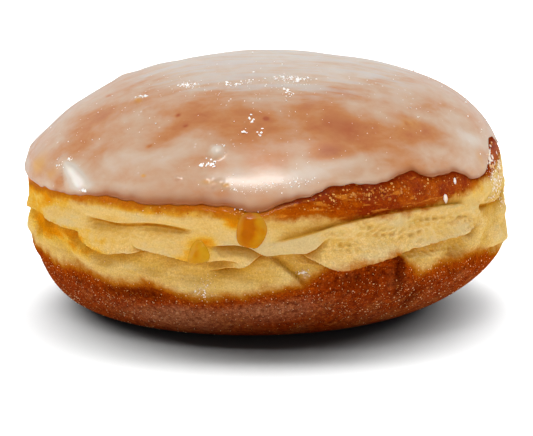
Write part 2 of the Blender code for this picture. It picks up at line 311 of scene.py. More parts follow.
# Clusters of lumps: (angle, height, how many, spread in degrees and mm, least and greatest size)
SUGAR_FLAKES = (
    (-42, 43.5, 40, 2.4, 0.18, 0.15, 0.65), (-18, 44.1, 40, 3.0, 0.14, 0.15, 0.65),
    (-11, 44.4, 36, 2.5, 0.12, 0.15, 0.6), (13, 44.7, 80, 7.0, 0.16, 0.15, 0.6),
    (-10, 45.5, 12, 6.0, 0.10, 0.15, 0.6), (-4.8, 39.8, 7, 0.9, 0.3, 0.3, 1.0),
    (-6.8, 38.2, 7, 0.7, 0.25, 0.2, 0.8), (-1.8, 37.8, 6, 0.5, 0.25, 0.3, 0.9),
    (-14.8, 33.2, 22, 0.9, 0.28, 0.2, 0.7), (-13.5, 35.7, 14, 1.0, 0.35, 0.2, 0.6),
    (-55.3, 41.2, 20, 1.2, 0.2, 0.2, 0.8), (10, 43.2, 20, 1.4, 0.25, 0.2, 0.6),
    (-58.5, 30.6, 34, 1.5, 0.6, 0.15, 0.5), (-45.5, 27.3, 14, 0.9, 0.15, 0.2, 0.7),
    (-5, 42.0, 12, 10, 1.0, 0.15, 0.4), (-20, 41.0, 30, 26, 3.5, 0.10, 0.28),
    (20, 41.0, 30, 22, 3.5, 0.10, 0.28), (0, 34.0, 30, 24, 2.5, 0.10, 0.22),
    (10, 44.6, 150, 24, 0.9, 0.10, 0.30), (-35, 43.8, 90, 18, 1.0, 0.10, 0.28),
    (45, 40.0, 50, 16, 2.5, 0.10, 0.24), (-60, 37.0, 40, 12, 3.5, 0.10, 0.24),
    (160, 42.0, 60, 40, 3.0, 0.12, 0.7), (-150, 35.0, 30, 30, 3.0, 0.12, 0.6),
    (100, 36.0, 20, 20, 3.0, 0.12, 0.6),
)
LIP_CRYSTALS = (
    (4, 30.3, 60, 4.5, 0.45, 0.10, 0.34), (-4, 29.6, 60, 4.5, 0.5, 0.08, 0.25),
    (8.5, 30.9, 24, 3.0, 0.3, 0.12, 0.40), (-13, 30.8, 20, 3.0, 0.5, 0.10, 0.30),
    # the last two clusters, on the amber drop's top, are white lumps standing in for its glints: painted
    # highlight
    (-5.2, 26.6, 9, 0.9, 0.12, 0.15, 0.40), (-2.5, 26.4, 5, 0.7, 0.12, 0.12, 0.30),
)
CRUST_GRAINS = (
    (8.5, 15.0, 14, 0.8, 0.4, 0.2, 0.8), (68, 30.6, 46, 2.2, 1.4, 0.2, 0.9),
    (76, 25.5, 40, 3.0, 2.6, 0.15, 0.7), (-14.5, 12.0, 14, 1.2, 1.2, 0.1, 0.4),
    (-60.5, 4.4, 40, 3.5, 1.0, 0.1, 0.5), (-40, 1.6, 30, 8.0, 0.6, 0.1, 0.4),
    (0, 8.0, 900, 45, 3.5, 0.06, 0.26), (30, 10.0, 800, 20, 3.0, 0.06, 0.30),
    (-45, 8.0, 500, 14, 3.0, 0.06, 0.28), (180, 8.0, 500, 60, 3.5, 0.06, 0.3),
    (-58, 23.4, 8, 2.5, 0.5, 0.15, 0.4), (-27, 25.3, 6, 2.0, 0.3, 0.15, 0.35),
)
PALE_CHIPS = (
    (46.2, 25.7, 1, 0.05, 0.05, 1.5, 1.6), (50.3, 28.3, 1, 0.05, 0.05, 1.0, 1.1),
    (69, 31.4, 220, 1.8, 1.0, 0.2, 0.9), (75, 25.8, 80, 2.5, 1.8, 0.15, 0.7),
    (69, 25.2, 160, 1.6, 1.6, 0.12, 0.45), (69.5, 30.4, 34, 1.1, 0.7, 0.45, 1.0),
    (-15.5, 11.9, 26, 0.9, 1.2, 0.12, 0.5), (-14, 13.5, 14, 0.8, 0.8, 0.12, 0.4),
    (80, 20.5, 50, 2.0, 1.0, 0.15, 0.6), (8.5, 15.0, 12, 0.7, 0.3, 0.2, 0.7),
)
WET_BUBBLES = (
    (22, 27.6, 150, 12, 1.3, 0.14, 0.55), (45, 27.6, 45, 9, 1.0, 0.14, 0.45),
    (26, 28.4, 40, 4, 0.6, 0.30, 0.80), (-30, 26.0, 40, 18, 0.3, 0.15, 0.40),
    (-4, 26.0, 16, 2.5, 0.25, 0.20, 0.50), (150, 26.5, 160, 30, 0.8, 0.2, 0.5),
)

# Syrup that has soaked into the belt, and burnt places of the lower crust; a negative amount makes a
# dusty place with a painted sheen
STAINS = (
    Patch(-30, 26.4, 26.0, 1.0, 0.9), Patch(-62, 25.6, 10.0, 0.8, 0.8), Patch(-72, 22.0, 6.0, 2.2, 0.6),
    Patch(-68, 16.5, 8.0, 3.0, 0.5), Patch(-84, 20.0, 5.0, 5.0, 0.7), Patch(-56, 17.6, 7.0, 1.6, 0.6),
    Patch(-36, 16.0, 8.0, 1.0, 0.5), Patch(-66, 24.8, 7.0, 0.9, 0.7), Patch(-28, 25.4, 16.0, 0.6, 0.5),
    Patch(-1.0, 24.5, 3.0, 2.6, 0.45), Patch(-6.5, 25.4, 2.5, 1.5, 1.0), Patch(-50, 20.3, 8.0, 0.8, 0.6),
    Patch(-38, 22.2, 8.0, 0.6, 0.4), Patch(-20, 18.2, 5.0, 0.8, 0.4), Patch(-8, 15.6, 4.0, 0.7, 0.5),
    Patch(-75, 25.2, 5.0, 1.6, 0.8), Patch(-63, 19.0, 5.0, 1.6, 1.2), Patch(-71, 18.0, 3.5, 2.2, 1.1),
    Patch(-59, 23.6, 3.0, 0.9, 0.7), Patch(-50, 18.6, 5.0, 0.9, 0.7), Patch(-43, 16.6, 3.0, 0.8, 0.6),
    Patch(-37, 19.2, 5.0, 0.9, 0.35), Patch(-44, 17.4, 4.0, 1.0, 0.6), Patch(-15, 19.5, 2.8, 2.6, 0.9),
    Patch(-12, 21.2, 2.0, 1.0, 0.7), Patch(-8, 24.6, 2.0, 1.6, 0.6), Patch(-53, 24.0, 2.4, 1.4, 0.6),
    Patch(-64, 23.0, 3.5, 1.6, 0.5), Patch(58, 26.0, 3.0, 2.0, 0.6), Patch(-50, 15.5, 6.0, 1.6, 0.5),
)
BURNS = (
    Patch(-29, 9.8, 6.0, 2.0, 1.0), Patch(32, 14.0, 1.3, 5.0, 1.1), Patch(38, 7.5, 3.0, 4.0, 0.9),
    Patch(20, 13.0, 8.0, 3.0, 0.6), Patch(-40, 9.6, 5.0, 2.0, 0.7), Patch(50, 12.0, 7.0, 2.0, 0.5),
    Patch(5, 5.0, 14.0, 3.0, 0.4), Patch(-22, 6.0, 12.0, 3.0, -1.1), Patch(2, 8.0, 10.0, 3.0, -0.9),
    Patch(35, 5.0, 12.0, 2.5, -0.3), Patch(-52, 9.5, 3.0, 1.4, 0.6),
)

# How milky the glaze is all over, the most that its patches change that, and how much is added
# towards the top, from which height and over how many mm; then the same heights for the top's streaks
MILK_LEVEL = 0.60
MILK_SWING = 0.52
TOP_MILK, TOP_MILK_FROM, TOP_MILK_SPAN = 0.34, 42.6, 2.4
TOP_STREAKS_FROM, TOP_STREAKS_SPAN = 41.0, 3.0

# Where the glaze lies thick and milky (above 0) or thin and brown (below 0)
MILK_PATCHES = (
    # Broad thin places, and the left third: two brown bands, the thick white fold over the edge, whose
    # white is partly a painted reflection, and the clear corner beside it
    Patch(-66, 36.4, 5.0, 2.4, -0.28, 15), Patch(-60, 38.6, 5.0, 2.0, -0.26, 25),
    Patch(-54, 40.0, 6.0, 1.5, -0.20), Patch(5, 38.2, 27.0, 3.4, -0.16), Patch(-45, 37.6, 14.0, 3.0, -0.10),
    Patch(40, 34.5, 9.0, 1.8, -0.14), Patch(-58, 33.6, 4.0, 2.4, -0.34), Patch(-65, 31.0, 3.0, 2.4, -0.18),
    Patch(-49, 27.8, 2.4, 1.0, 0.7), Patch(-56, 27.6, 1.6, 1.6, -0.30), Patch(-63, 28.0, 5.0, 1.2, -0.25),
    # Left of the middle: the brown cloud and the milk under it
    Patch(-29, 40.6, 4.5, 1.3, -0.36), Patch(-22, 40.0, 5.0, 1.4, -0.30),
    Patch(-27, 38.0, 4.0, 1.5, -0.26, 20), Patch(-31, 36.6, 3.5, 1.2, -0.25, 20),
    Patch(-13, 40.6, 4.0, 1.0, -0.22), Patch(-39, 32.6, 6.0, 1.8, 0.28, 12),
    Patch(-24, 34.4, 5.5, 1.6, 0.30, 15), Patch(-33, 28.8, 8.0, 1.0, 0.20),
    # The middle: brown round the flakes, a mauve hollow and the bright milk over the lip
    Patch(-8, 39.4, 5.5, 1.8, -0.34), Patch(-2, 38.8, 5.0, 1.8, -0.28), Patch(-6, 36.6, 6.0, 1.6, -0.26),
    Patch(-14, 33.6, 4.0, 1.2, -0.20), Patch(-1, 34.4, 6.0, 1.3, -0.18), Patch(-7, 31.6, 7.0, 1.2, 0.35),
    Patch(9, 32.0, 7.0, 1.2, 0.35, 8), Patch(-22, 30.6, 6.0, 1.2, 0.15), Patch(-10, 29.0, 4.0, 0.8, -0.20),
    # The big dark patch on the right, its tail upwards and the milk round it
    Patch(16, 38.6, 5.5, 1.9, -0.44, 10), Patch(24, 37.6, 6.5, 1.9, -0.46, -8),
    Patch(33, 37.6, 5.5, 1.4, -0.44, -10), Patch(20, 36.0, 6.0, 1.4, -0.34, 10),
    Patch(41, 36.6, 4.0, 1.4, -0.42), Patch(13, 41.2, 4.5, 0.9, -0.35), Patch(22, 41.8, 5.0, 0.8, -0.28),
    Patch(34, 42.7, 4.0, 0.8, -0.42, -10), Patch(22, 33.4, 6.0, 1.1, 0.32, 6),
    Patch(33, 33.0, 4.0, 0.8, -0.15), Patch(41, 31.6, 6.0, 1.0, -0.10), Patch(19, 34.9, 4.5, 1.0, -0.38),
    Patch(60, 43.6, 8.0, 0.5, -0.30), Patch(46, 33.6, 4.5, 1.1, 0.25, -12),
    # The far right: golden where it is thin, white on the shoulder
    Patch(51, 36.6, 5.0, 1.2, -0.18, -20), Patch(47, 38.2, 5.0, 1.4, -0.28, -15),
    Patch(58, 39.4, 3.0, 0.9, -0.30), Patch(66, 39.6, 3.0, 0.9, -0.26),
    Patch(62, 34.6, 6.0, 2.0, 0.42, -15), Patch(66, 37.4, 6.0, 1.2, 0.26), Patch(56, 29.6, 4.0, 1.0, -0.22),
    # The sides and the back, which the photograph doesn't show
    Patch(150, 40.0, 12.0, 3.0, 0.4), Patch(-130, 36.0, 9.0, 3.0, -0.5), Patch(115, 36.0, 8.0, 3.0, -0.5),
    Patch(175, 33.0, 9.0, 3.0, -0.4), Patch(-100, 32.0, 7.0, 3.0, 0.4), Patch(-160, 39.0, 8.0, 1.6, -0.4),
    Patch(95, 40.0, 6.0, 1.6, -0.3), Patch(135, 31.0, 8.0, 2.0, 0.3), Patch(-150, 30.0, 9.0, 2.0, 0.3),
)

# Small spots of milk or brown, added without the softening that the patches get
MILK_SPOTS = (
    Patch(-30.8, 39.7, 0.6, 0.22, -0.7), Patch(-0.2, 40.0, 0.7, 0.22, -0.8),
    Patch(-25.8, 38.4, 0.5, 0.18, -0.5), Patch(-33.5, 35.2, 0.5, 0.25, -0.5),
    Patch(44.8, 38.1, 0.6, 0.30, -0.4), Patch(-74.0, 40.2, 1.5, 0.25, -0.5),
    # the first spot below whitens the left fold's streak: thick glaze, partly a painted reflection
    Patch(-51.5, 29.3, 5.0, 1.0, 1.25, -14), Patch(-13.5, 35.2, 1.2, 0.7, 0.9),
    Patch(-54.8, 41.1, 1.1, 0.35, 0.7), Patch(66, 33.6, 4.0, 1.2, 0.35, -20),
    Patch(-48.5, 27.9, 1.6, 0.7, 0.5),
)

# Where the glaze is golden, where it has ridges, dimples and blisters
HONEY_PATCHES = (
    Patch(-69, 28.8, 4.0, 2.2, 0.9), Patch(-60, 28.4, 2.4, 1.6, 0.6), Patch(-53.5, 40.8, 1.6, 0.35, 0.8),
    Patch(-31, 30.8, 0.7, 0.35, 0.9), Patch(-14, 30.6, 2.6, 0.6, 0.6), Patch(-9.6, 30.2, 1.0, 0.5, 0.8),
    Patch(46, 38.0, 5.0, 1.3, 0.48), Patch(40, 36.4, 3.0, 1.0, 0.25), Patch(64, 30.4, 1.8, 2.4, 0.55),
    Patch(-12, 38.4, 3.0, 1.4, 0.25), Patch(4, 37.6, 4.0, 1.4, 0.20), Patch(-160, 32.0, 5.0, 2.0, 0.5),
)
GLAZE_RIDGES = (
    Patch(-51.5, 29.4, 4.6, 0.6, 0.60, -14), Patch(-56.6, 29.2, 3.0, 0.28, -0.35, -38),
    Patch(-40, 28.0, 3.0, 0.5, 0.15), Patch(-102, 41.5, 3.0, 0.7, 0.35),
)
DIMPLED = (Patch(-2, 29.9, 9.0, 1.1, 1.0), Patch(-16, 30.6, 4.0, 0.8, 0.6), Patch(10, 30.6, 5.0, 0.8, 0.7))
BLISTERS = (
    Spot(-13.5, 35.2, 1.3, 0.65), Spot(-54.8, 40.9, 1.1, 0.45), Spot(-51.5, 41.3, 0.7, 0.25),
    Spot(-46.0, 40.1, 0.6, 0.25), Spot(-14.8, 30.9, 0.8, 0.28), Spot(-13.0, 30.2, 0.6, 0.25),
    Spot(-11.2, 30.6, 0.7, 0.28), Spot(-9.6, 30.0, 0.5, 0.20), Spot(-22.0, 30.9, 0.5, 0.25),
    Spot(-31.0, 30.8, 0.3, 0.12), Spot(-59.5, 30.8, 0.9, 0.30), Spot(-47.0, 27.9, 0.8, 0.25),
)


def ease(x):
    """Go smoothly from 0 to 1 while x goes from 0 to 1."""
    x = np.clip(x, 0.0, 1.0)
    return x * x * (3.0 - 2.0 * x)


def curve(points, at, period=None):
    """Read a smooth curve through (place, value) points: cubic pieces that share their slopes.

    With a period, the curve closes on itself.
    """
    place, value = np.array(points, float).T
    if period:
        place = np.concatenate([place - period, place, place + period])
        value = np.tile(value, 3)
    slope = np.gradient(value, place)
    i = np.clip(np.searchsorted(place, at) - 1, 0, len(place) - 2)
    step = place[i + 1] - place[i]
    u = np.clip((at - place[i]) / step, 0.0, 1.0)
    ends = value[i] * (1 + 2 * u) * (1 - u) ** 2 + value[i + 1] * (3 - 2 * u) * u ** 2
    return ends + step * u * (1 - u) * (slope[i] * (1 - u) - slope[i + 1] * u)


def round_bun(points, angle):
    """Read a curve that closes round the bun."""
    return curve(points, np.mod(angle + 180.0, 360.0) - 180.0, period=360.0)


def glaze_edge(angle):
    """Height of the glaze's lower edge: its curve with small ripples, whole numbers of them round the bun."""
    turn = np.radians(angle)
    ripples = sum(high * np.cos(count * turn + shift) for count, high, shift in EDGE_RIPPLES)
    return round_bun(GLAZE_RIM, angle) + ripples


def glaze_thickness(angle, over):
    """Thickness of the glaze at a height over its edge: its lip's there, and full from two skirts up."""
    lip = round_bun(LIP_THICKNESS, angle)
    return lip + (GLAZE_THICKNESS - lip) * ease(over / SKIRT / 2)


def bowl_and_dome(angle, level):
    """Form with a sharp waist: level 0 is the foot's ring, 1 the waist, 2 the middle of the top.

    In the bowl the radius grows as a power of a sine and the height as one less a power of the
    cosine; over the waist the two swap. The waist and the powers drift from left to right.
    """
    turn = np.radians(angle)
    side = np.sin(turn)
    low = np.clip(level, 0, 1) * np.pi / 2
    high = np.clip(level - 1, 0, 1) * np.pi / 2
    foot = FOOT_RADIUS / (WIDTH / 2)
    waist = WAIST_HEIGHT - WAIST_DROP * side
    bowl = foot + (1 - foot) * np.sin(low) ** (BOWL_REACH + BOWL_REACH_DRIFT * side)
    bowl_z = waist * (1 - np.maximum(np.cos(low), 0) ** (BOWL_RISE + BOWL_RISE_DRIFT * side))
    dome = np.maximum(np.cos(high), 1e-9) ** (DOME_REACH + DOME_REACH_DRIFT * side)
    dome_z = waist + (HEIGHT - waist) * np.sin(high) ** (DOME_RISE + DOME_RISE_DRIFT * side)
    ellipse = 1 / np.hypot(np.sin(turn) * 2 / WIDTH, np.cos(turn) * 2 / DEPTH)
    radius = np.where(level < 1, bowl, dome) * ellipse
    z = np.where(level < 1, bowl_z, dome_z)
    return np.stack([radius * side, -radius * np.cos(turn), z], -1)


def bun(angle, level):
    """Outer form with the waist rounded: near it, each point is averaged with its neighbours."""
    soft = WAIST_SOFTNESS * np.exp(-((level - 1) / WAIST_SPAN) ** 2)
    ends = bowl_and_dome(angle, level - soft) + bowl_and_dome(angle, level + soft)
    return ends / 4 + bowl_and_dome(angle, level) / 2


def outward(angle, level):
    """Unit normal of the bun, from the difference of neighbouring points."""
    step = 0.01
    level = np.clip(level, 2 * step, 2 - 2 * step)
    along = bun(angle + step, level) - bun(angle - step, level)
    up = bun(angle, level + step) - bun(angle, level - step)
    normal = np.cross(along, up)
    return normal / np.linalg.norm(normal, axis=-1, keepdims=True)


def level_at(angle, height):
    """Level of the bun's form at a height, found by halving."""
    size = np.broadcast(angle, height).shape
    low, high = np.zeros(size), np.full(size, 2.0)
    for _ in range(HALVINGS):
        middle = (low + high) / 2
        over = bun(angle, middle)[..., 2] > height
        low, high = np.where(over, low, middle), np.where(over, middle, high)
    return (low + high) / 2


def apart(angle, other):
    """Difference of two angles, from -180 to 180."""
    return np.mod(angle - other + 180.0, 360.0) - 180.0


def within(patch, angle, height):
    """Squared distance from a patch's middle, 1 at its edge."""
    across = np.radians(apart(angle, patch.angle)) * WIDTH / 2
    up = height - patch.height
    cos, sin = np.cos(np.radians(patch.tilt)), np.sin(np.radians(patch.tilt))
    along, over = across * cos + up * sin, up * cos - across * sin
    return (along / patch.half_width) ** 2 + (over / patch.half_height) ** 2


def spread(patches, angle, height):
    """Soft patches added up, each a bell with its amount at its middle."""
    return sum(patch.amount * np.exp(-within(patch, angle, height)) for patch in patches)


def swell(patches, angle, height):
    """Bumps added up, each with an elliptical edge and a round section."""
    return sum(p.amount * np.sqrt(np.maximum(1 - within(p, angle, height), 0)) for p in patches)


def on_bun(angle, height):
    """Point of the bun's form at an angle and a height."""
    angle, height = np.atleast_1d(angle), np.atleast_1d(height)
    return bun(angle, level_at(angle, height))


def knobs(spots, point):
    """Round bumps added up: each a bell of the distance from its middle."""
    total = np.zeros(point.shape[:-1])
    for spot in spots:
        away = ((point - on_bun(spot.angle, spot.height)[0]) ** 2).sum(-1)
        total += spot.amount * np.exp(-(away / spot.radius ** 2) ** 1.5)
    return total


def waves(angle, height, count, around, upwards, seed):
    """Plane waves in all directions added up, whole numbers of them round the bun, about 1 high."""
    draw = np.random.default_rng(seed)
    total = np.zeros(np.broadcast(angle, height).shape)
    for _ in range(count):
        turns = draw.integers(*around)
        upward = draw.choice([-1, 1]) * 2 * np.pi / draw.uniform(*upwards)
        total += np.cos(turns * np.radians(angle) + upward * height + draw.uniform(0, 2 * np.pi))
    return total / np.sqrt(count)


def swirl(point, count, length, seed):
    """Plane waves through space added up, each about 'length' mm long, about 1 high."""
    draw = np.random.default_rng(seed)
    way = draw.normal(size=(count, 3))
    way *= 2 * np.pi / length / np.linalg.norm(way, axis=1, keepdims=True)
    way *= draw.uniform(0.6, 1.6, (count, 1))
    phase = draw.uniform(0, 2 * np.pi, count)
    return sum(np.cos(point @ w + p) for w, p in zip(way, phase)) / np.sqrt(count)


def back_folds():
    """Folds that go on round the sides and the back, at heights taken in turn."""
    draw = np.random.default_rng(BACK_SEED)
    folds = []
    for count, start in enumerate(np.arange(BACK_START, BACK_END, BACK_STEP)):
        end = min(start + draw.uniform(*BACK_LENGTHS), BACK_END)
        low = BACK_LEVELS[count % len(BACK_LEVELS)] + draw.uniform(-BACK_SHIFT, BACK_SHIFT)
        bend, rise = draw.uniform(-BACK_BEND, BACK_BEND), draw.uniform(-BACK_RISE, BACK_RISE)
        path = ((start, low), ((start + end) / 2, low + rise / 2 + bend), (end, low + rise))
        lip, hollow = draw.uniform(*BACK_LIPS), draw.uniform(*BACK_HOLLOWS)
        folds.append(Fold(path, lip, hollow, draw.random() < BACK_LIP_ABOVE))
    return folds


def fold_relief(fold, angle, height):
    """How far a fold moves the skin outwards and downwards, how deep its crease is, and its line.

    Over the crease the skin rises to the lip within FOLD_EDGE and dies away over 'reach'; under
    it the hollow dies away over 'spread'. The lip also sags, to hang over the crease. The line is a
    narrow bell where the skin shows just under the lip. The crease's depth and the line are masks
    for painted shade.
    """
    first, last = fold.path[0][0], fold.path[-1][0]
    place = np.mod(angle - first, 360.0)
    crease = curve([(a - first, z) for a, z in fold.path], np.minimum(place, last - first))
    fade = ease(place / fold.taper) * ease((last - first - place) / fold.taper)
    over = (height - crease) * (1 if fold.lip_above else -1)
    rise = ease(over / FOLD_EDGE)
    lip = fold.lip * rise * np.exp(-(over / fold.reach) ** 2)
    depth = (1 - rise) * np.exp(np.minimum(over, 0) / fold.spread)
    sag = LIP_SAG * lip * (1 if fold.lip_above else -1)
    crease_shade_line = np.exp(-((over + LINE_UNDER) / LINE_WIDTH) ** 2) * min(fold.hollow, 1.0)
    crease_shade_line = crease_shade_line * (1 if fold.lip_above else VALLEY_LINE)
    return fade * (lip - fold.hollow * depth), fade * sag, fade * depth * min(fold.hollow, 1.0), fade * crease_shade_line


def dough(angle, level):
    """Points of the dough's skin, their heights, and its creases, fold lines, relief and fine ridges,
    which the dough's finish uses as masks for painted shade, painted light and painted highlight.
    """
    point = bun(angle, level)
    height = point[..., 2]
    belt = ease((height - CRUMPLE_LOW) / CRUMPLE_EDGE) * ease((CRUMPLE_HIGH - height) / CRUMPLE_EDGE)
    coarse = waves(angle, height, CRUMPLE_WAVES, CRUMPLE_AROUND, CRUMPLE_UPWARDS, CRUMPLE_SEED)
    fine = waves(angle, height, WRINKLE_WAVES, WRINKLE_AROUND, WRINKLE_UPWARDS, WRINKLE_SEED)
    wrinkled = SMOOTH_LOW + (1 - SMOOTH_LOW) * ease((height - WRINKLES_FROM) / WRINKLES_SPAN)
    wrinkled = wrinkled * round_bun(WRINKLED, angle)
    out = belt * (CRUMPLE_DEPTH * coarse - CRUMPLE_SINK - WRINKLE_DEPTH * wrinkled * np.abs(fine))
    ridge_highlight = belt * wrinkled * np.exp(-(fine / RIDGE_WIDTH) ** 2)
    down, crease, crease_shade_line = (np.zeros_like(height) for _ in range(3))
    for fold in (*FRONT_FOLDS, *back_folds()):
        fold_out, fold_down, fold_crease_shade, fold_shade_line = fold_relief(fold, angle, height)
        out += fold_out
        down += fold_down
        crease = np.maximum(crease, fold_crease_shade)
        crease_shade_line = np.maximum(crease_shade_line, fold_shade_line)
    out += swell(SIDE_BULGES, angle, height) - spread(SIDE_HOLLOWS, angle, height)
    relief = out.copy()
    over = height - glaze_edge(angle)
    bare = ease(-over / SKIRT)
    sunk = glaze_thickness(angle, over) - BEDDING
    out = out * bare - sunk * ease(1 + over / SKIRT)
    point = point + outward(angle, level) * out[..., None]
    point[..., 2] -= down * bare
    # masks for painted shade in creases and under lips, painted light and shade by relief, and painted
    # highlight on ridges
    forms = {"crease": crease * bare, "crease_shade_line": crease_shade_line * bare, "relief": relief * bare, "ridge_highlight": ridge_highlight}
    return point, height, forms


def dough_point(angle, level):
    """Points of the dough's skin alone."""
    return dough(angle, level)[0]


def column_angles():
    """Angles of the grids' columns, closer together at the front, where the folds are finest."""
    even = np.linspace(-np.pi, np.pi, COLUMNS, endpoint=False)
    return np.degrees(even - FRONT_BIAS * np.sin(even))


def split_block():
    """Corners and faces of an eight-sided block whose every face is split in four and rounded."""
    tips = ((1, 0, 0), (-1, 0, 0), (0, 1, 0), (0, -1, 0), (0, 0, 1), (0, 0, -1))
    corners = [np.array(tip, float) for tip in tips]
    faces = []
    for x in (0, 1):
        for y in (2, 3):
            for z in (4, 5):
                flip = (x + y + z) % 2 == 1
                a, b, c = (x, y, z) if not flip else (y, x, z)
                ab, bc, ca = (len(corners) + i for i in range(3))
                for i, j in ((a, b), (b, c), (c, a)):
                    middle = corners[i] + corners[j]
                    corners.append(middle / np.linalg.norm(middle))
                faces += [(a, ab, ca), (b, bc, ab), (c, ca, bc), (ab, bc, ca)]
    corners, index = np.unique(np.round(corners, 6), axis=0, return_inverse=True)
    return corners, index.ravel()[np.array(faces)]


LUMP_CORNERS, LUMP_FACES = split_block()

# The bun's axis stands under the highest point of the glaze's solid
GLAZE_CO = np.array([v.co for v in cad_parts["glaze"].data.vertices])
AXIS = np.array([*GLAZE_CO[GLAZE_CO[:, 2].argmax()][:2], 0.0])


def add_mesh(name, vertices, faces, material, values=None):
    """A mesh from arrays of points (mm from the bun's axis) and faces, with its named values."""
    mesh = bpy.data.meshes.new(name)
    mesh.from_pydata((vertices * MM + AXIS).tolist(), [], faces.tolist())
    mesh.shade_smooth()
    mesh.materials.append(material)
    for key, value in (values or {}).items():
        attribute = mesh.attributes.new(key, "FLOAT", "POINT")
        attribute.data.foreach_set("value", np.ascontiguousarray(value, np.float32).ravel())
    piece = bpy.data.objects.new(name, mesh)
    bpy.context.scene.collection.objects.link(piece)
    return piece


def ring_faces(rows, columns):
    """Faces of rings with a pole before the first and after the last, all facing outwards."""
    row, column = np.meshgrid(np.arange(rows - 1), np.arange(columns), indexing="ij")
    here = row * columns + column
    beside = row * columns + (column + 1) % columns
    lower = np.stack([here, beside, beside + columns], -1).reshape(-1, 3)
    upper = np.stack([here, beside + columns, here + columns], -1).reshape(-1, 3)
    column = np.arange(columns)
    beside = (column + 1) % columns
    top = (rows - 1) * columns
    first = np.stack([beside, column, np.full(columns, rows * columns)], -1)
    last = np.stack([top + column, top + beside, np.full(columns, rows * columns + 1)], -1)
    return np.concatenate([first, lower, upper, last])


def add_body(name, rings, first_pole, last_pole, material, values):
    """A closed piece from rings of points (rows x columns x 3) and its two poles."""
    rows, columns = rings.shape[:2]
    vertices = np.concatenate([rings.reshape(-1, 3), [first_pole, last_pole]])
    ends = {k: np.concatenate([v.ravel(), [v[0].mean(), v[-1].mean()]]) for k, v in values.items()}
    return add_mesh(name, vertices, ring_faces(rows, columns), material, ends)


class Value:
    """A number or colour in a material, joined to others by ordinary arithmetic."""

    def __init__(self, finish, socket):
        self.finish, self.socket = finish, socket

    def __add__(self, other):
        return self.finish.math("ADD", self, other)

    def __sub__(self, other):
        return self.finish.math("SUBTRACT", self, other)

    def __rsub__(self, other):
        return self.finish.math("SUBTRACT", other, self)

    def __mul__(self, other):
        return self.finish.math("MULTIPLY", self, other)

    __radd__ = __add__
    __rmul__ = __mul__


class Finish:
    """A material, or the studio around it, under construction on its shader."""

    def __init__(self, name, kind="materials", shader="Principled BSDF"):
        self.material = getattr(bpy.data, kind).new(name)
        self.material.use_nodes = True
        self.tree = self.material.node_tree
        self.shader = self.tree.nodes[shader]

    def node(self, kind, settings=(), sockets=(), output=0):
        """Any node: its settings first, then the values or links of its sockets."""
        made = self.tree.nodes.new(kind)
        for key, value in dict(settings).items():
            setattr(made, key, value)
        for key, value in dict(sockets).items():
            self.feed(made.inputs[key], value)
        return Value(self, made.outputs[output])

    def feed(self, socket, value):
        """Link a socket, or set it; a colour of three numbers gets an alpha of 1."""
        if isinstance(value, Value):
            self.tree.links.new(value.socket, socket)
        elif isinstance(value, tuple) and len(value) == 3 and socket.type == "RGBA":
            socket.default_value = (*value, 1.0)
        else:
            socket.default_value = value

    def set(self, **sockets):
        """Feed the shader's own sockets, named with _ for a space."""
        for key, value in sockets.items():
            self.feed(self.shader.inputs[key.replace("_", " ")], value)

    def math(self, operation, a, b):
        return self.node("ShaderNodeMath", {"operation": operation}, {0: a, 1: b})

    def attribute(self, name):
        return self.node("ShaderNodeAttribute", {"attribute_name": name}, output="Fac")

    def place(self, stretch=(1.0, 1.0, 1.0)):
        """Object coordinates, squeezed along each axis by 'stretch'."""
        where = self.node("ShaderNodeTexCoord", output="Object")
        return self.node("ShaderNodeVectorMath", {"operation": "MULTIPLY"}, {0: where, 1: stretch})

    def noise(self, size, detail=3.0, roughness=0.55, stretch=(1.0, 1.0, 1.0), distortion=0.0):
        """Cloudy noise about 0.5, of blobs about 'size' millimetres across."""
        sockets = {"Vector": self.place(stretch), "Scale": 1.0 / (size * MM), "Detail": detail,
                   "Roughness": roughness, "Distortion": distortion}
        return self.node("ShaderNodeTexNoise", sockets=sockets)

    def cells(self, size):
        """Distance from the nearest of many scattered points, about 'size' millimetres apart."""
        sockets = {"Vector": self.place(), "Scale": 1.0 / (size * MM)}
        return self.node("ShaderNodeTexVoronoi", sockets=sockets, output="Distance")

    def ramp(self, value, low, high, start=0.0, end=1.0):
        """Go smoothly from start to end while the value goes from low to high."""
        sockets = {"Value": value, "From Min": low, "From Max": high, "To Min": start, "To Max": end}
        return self.node("ShaderNodeMapRange", {"interpolation_type": "SMOOTHSTEP"}, sockets)

    def mix(self, factor, first, second, blend="MIX"):
        """Colours mixed by a factor."""
        settings = {"data_type": "RGBA", "blend_type": blend, "clamp_factor": True}
        return self.node("ShaderNodeMix", settings, {0: factor, 6: first, 7: second}, output=2)

    def bump(self, height, distance, strength=1.0):
        """Surface relief of 'distance' millimetres."""
        sockets = {"Height": height, "Distance": distance * MM, "Strength": strength}
        return self.node("ShaderNodeBump", sockets=sockets)


